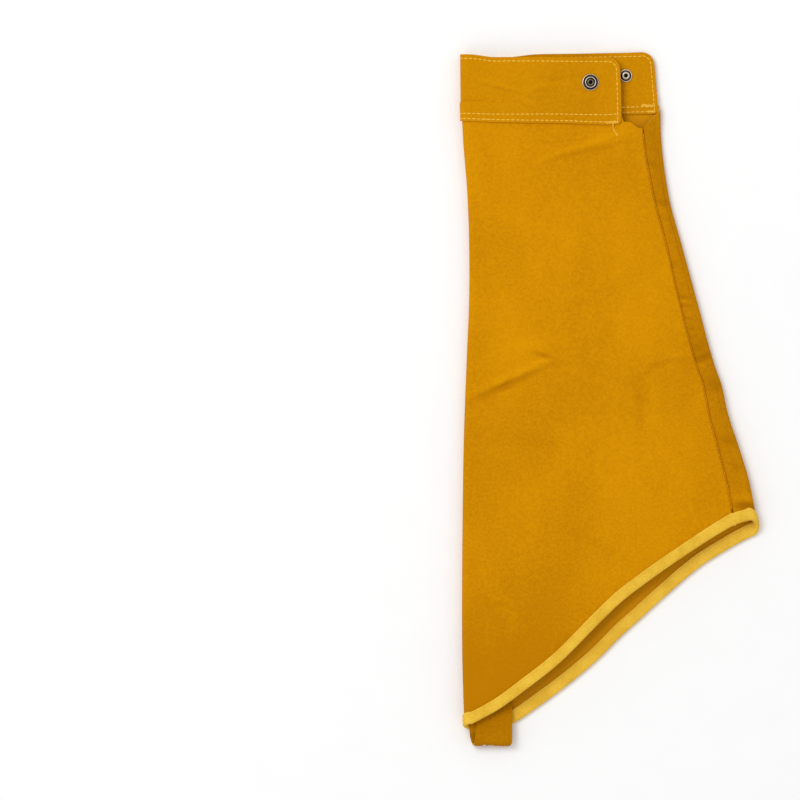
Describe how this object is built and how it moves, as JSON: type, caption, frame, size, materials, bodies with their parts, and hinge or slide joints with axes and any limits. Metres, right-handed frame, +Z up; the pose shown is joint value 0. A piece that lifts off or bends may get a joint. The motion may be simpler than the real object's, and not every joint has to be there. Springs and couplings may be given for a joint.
{
  "type": "welding sleeve",
  "caption": "Leather welding sleeve lying flat: flared suede tube with a snap cuff, a slanted taped shoulder opening and a tie loop.",
  "frame": {"origin": "middle of the sleeve's bounding box, on the table it lies on", "axes": "+X from the long folded side to the short folded side, +Y up the sleeve towards the cuff, +Z up off the table"},
  "size_m": [0.2544, 0.589, 0.0186],
  "materials": {
    "suede": "golden ochre suede split, dry and matt",
    "binding_tape": "light yellow folded tape, matt",
    "dark_metal": "dark antique plating, worn bright on its rims"
  },
  "bodies": {
    "root": {"front_panel": "suede", "back_panel": "suede", "cuff_band_outer": "suede", "cuff_band_inner": "suede", "hem_binding": "binding_tape", "tie_loop": "suede", "snap_socket": "dark_metal", "snap_post": "dark_metal", "snap_stud": "dark_metal", "snap_cap": "dark_metal"}
  },
  "joints": []
}
